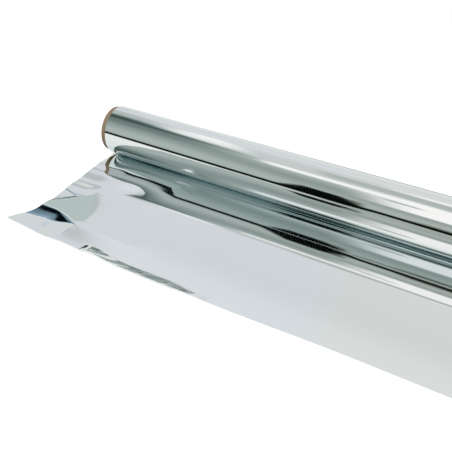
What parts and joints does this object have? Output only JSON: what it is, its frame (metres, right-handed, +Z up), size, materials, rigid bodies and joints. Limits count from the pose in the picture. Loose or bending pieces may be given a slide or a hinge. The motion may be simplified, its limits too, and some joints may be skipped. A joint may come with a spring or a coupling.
{
  "type": "aluminium foil roll",
  "caption": "Roll of mirror-bright aluminium foil on a cardboard tube, with its free end laid out flat in front of it.",
  "frame": {"origin": "centre of the tube's bore, halfway along the roll", "axes": "+X along the roll, to the right in the picture; the loose sheet lies towards -Y; +Z up"},
  "size_m": [0.462, 0.1789, 0.0498],
  "materials": {
    "cardboard": "matt kraft board",
    "foil": "mirror bright"
  },
  "bodies": {
    "root": {"core": "cardboard", "foil": "foil"}
  },
  "joints": []
}
